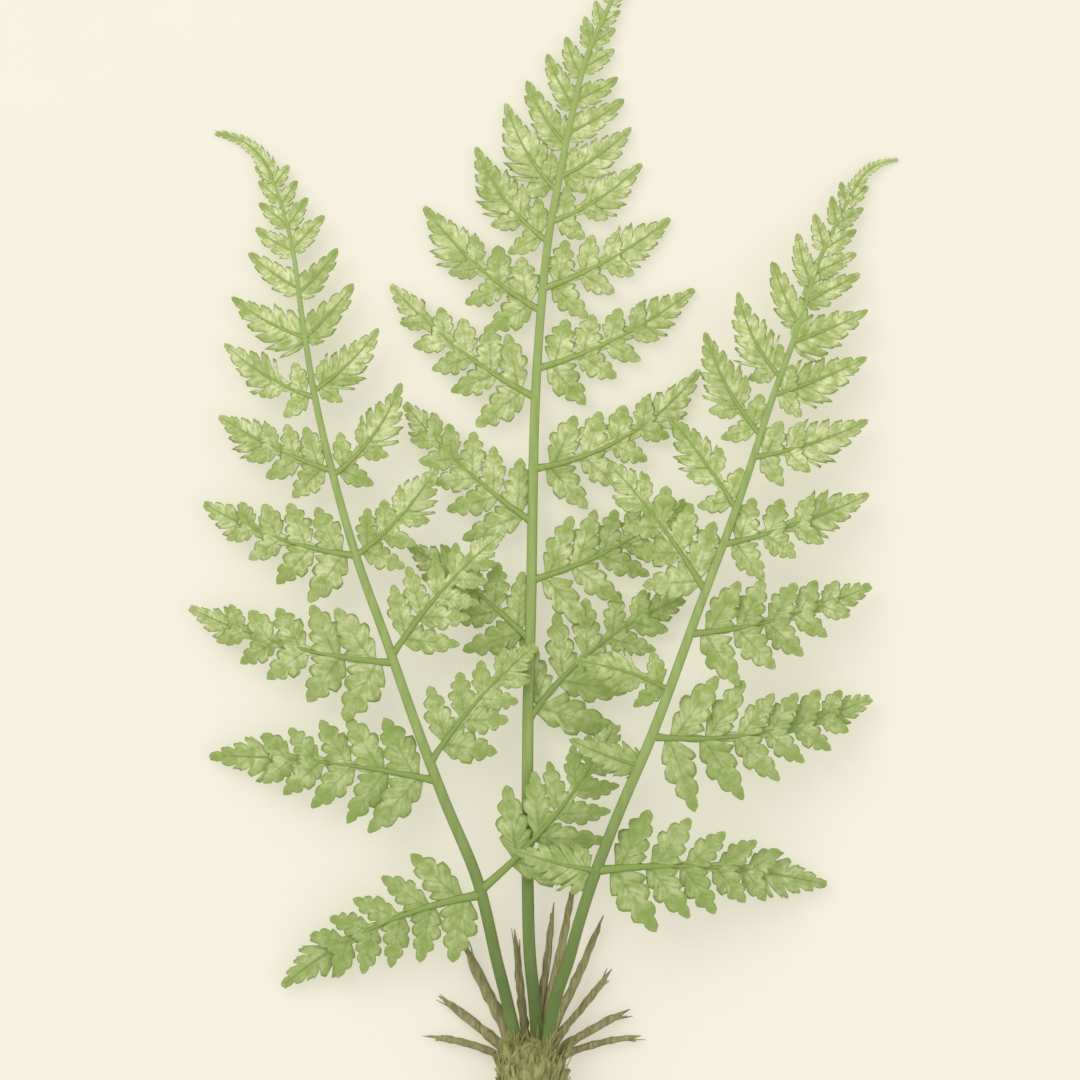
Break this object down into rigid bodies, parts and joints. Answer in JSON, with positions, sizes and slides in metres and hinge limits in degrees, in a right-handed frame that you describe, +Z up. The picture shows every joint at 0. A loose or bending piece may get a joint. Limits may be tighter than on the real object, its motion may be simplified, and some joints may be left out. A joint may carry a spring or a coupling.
{
  "type": "scaly male fern",
  "caption": "Fern plant lying on a surface: long arching fronds of toothed leaflets fanned from a short scaly crown with old stalks and wiry roots.",
  "frame": {"origin": "centre of the small flat spot under the crown that the plant rests on", "axes": "+Y along the plant from its crown to the tip of the middle frond, +Z up from the surface it lies on"},
  "size_m": [0.3201, 0.5529, 0.0357],
  "materials": {
    "frond": "satin",
    "crown": "matte"
  },
  "bodies": {
    "root": {"crown": "crown", "frond_left": "frond", "frond_centre": "frond", "frond_right": "frond"}
  },
  "joints": []
}
